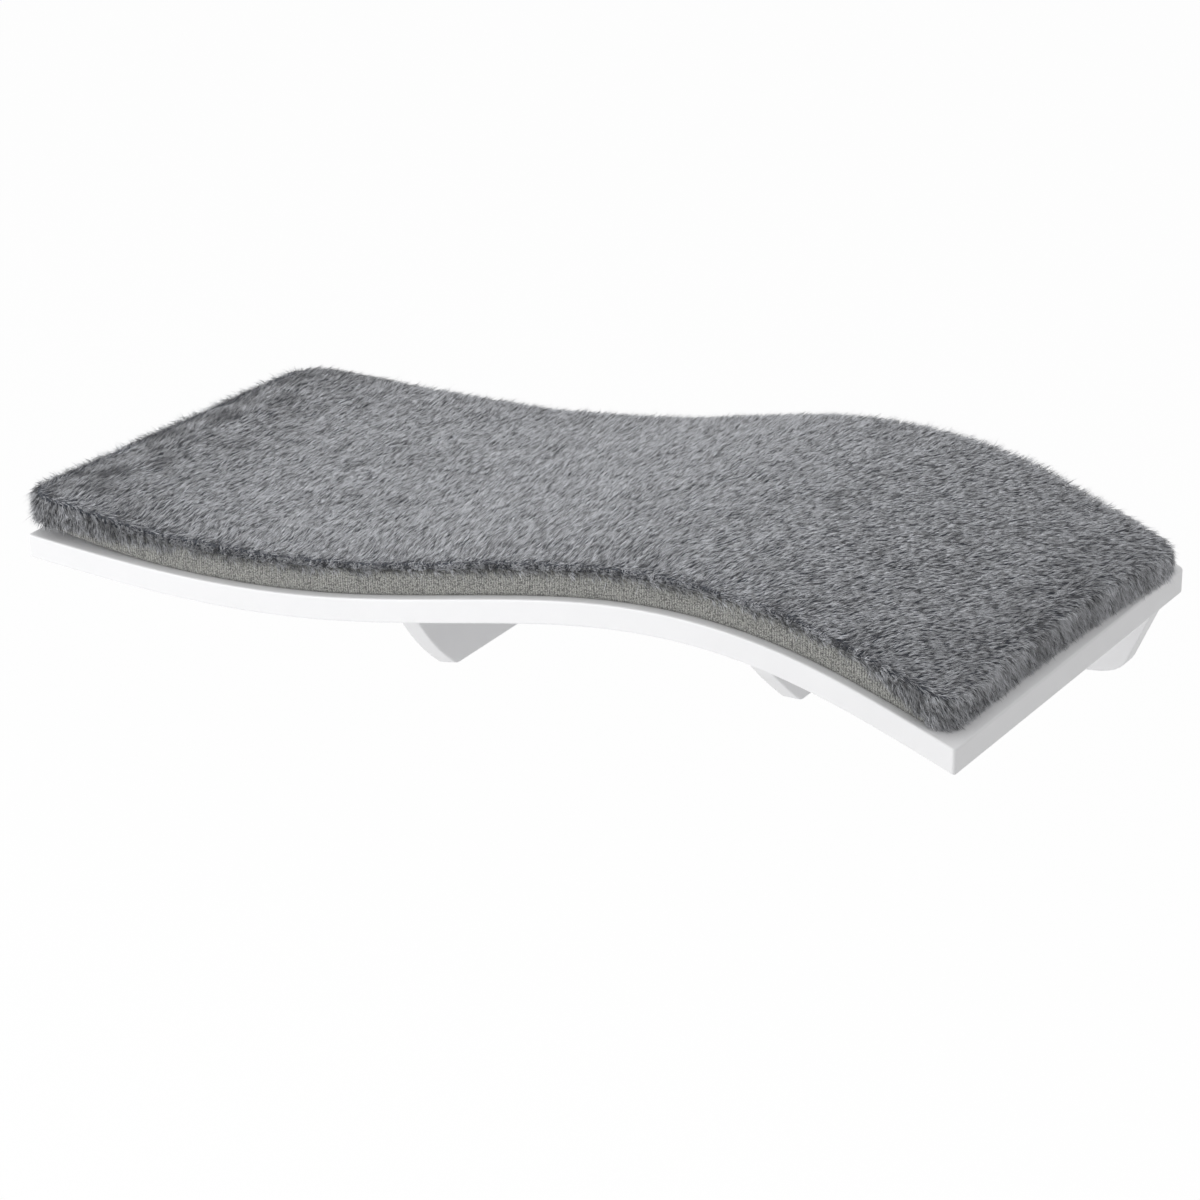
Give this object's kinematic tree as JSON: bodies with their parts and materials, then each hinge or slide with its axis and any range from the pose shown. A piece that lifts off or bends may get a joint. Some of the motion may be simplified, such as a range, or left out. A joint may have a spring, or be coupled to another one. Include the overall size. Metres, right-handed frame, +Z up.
{
  "type": "wall-mounted cat bed",
  "caption": "Wave-shaped white wall shelf for a cat, with a rail and gussets underneath and a lift-off grey plush pad on top.",
  "frame": {"origin": "on the rail's back face, which lies against the wall, at the middle of the board's length and at the height of the wall-screw holes", "axes": "+X along the wall to the right as seen by someone facing it, +Y into the wall, +Z up"},
  "size_m": [0.603, 0.273, 0.1339],
  "materials": {
    "board_lacquer": "satin white lacquer on bent plywood",
    "support_lacquer": "satin white lacquer on board",
    "zinc": "bright zinc plate",
    "hook_tape": "black hook tape",
    "loop_tape": "black brushed loop tape",
    "base_cloth": "grey woven non-slip cloth",
    "foam": "cream polyurethane foam",
    "knit_band": "beige-grey rib knit",
    "plush": "long-pile grey plush"
  },
  "bodies": {
    "shelf": {"shelf_board": "board_lacquer", "back_rail": "support_lacquer", "left_gusset": "support_lacquer", "right_gusset": "support_lacquer", "board_rail_screw_1": "zinc", "board_rail_screw_2": "zinc", "board_rail_screw_3": "zinc", "board_rail_screw_4": "zinc", "left_gusset_rear_screw": "zinc", "left_gusset_front_screw": "zinc", "left_gusset_upper_rail_screw": "zinc", "left_gusset_lower_rail_screw": "zinc", "right_gusset_rear_screw": "zinc", "right_gusset_front_screw": "zinc", "right_gusset_upper_rail_screw": "zinc", "right_gusset_lower_rail_screw": "zinc", "hook_patch_left_front": "hook_tape", "hook_patch_left_rear": "hook_tape", "hook_patch_right_front": "hook_tape", "hook_patch_right_rear": "hook_tape"},
    "pad": {"pad_base_cloth": "base_cloth", "pad_foam_core": "foam", "pad_side_band": "knit_band", "pad_plush_top": "plush", "loop_patch_left_front": "loop_tape", "loop_patch_left_rear": "loop_tape", "loop_patch_right_front": "loop_tape", "loop_patch_right_rear": "loop_tape"}
  },
  "joints": [
    {"name": "pad_lift", "type": "slide", "parent": "shelf", "child": "pad", "axis": [0, 0, 1], "range_m": [0, 0.08]}
  ]
}
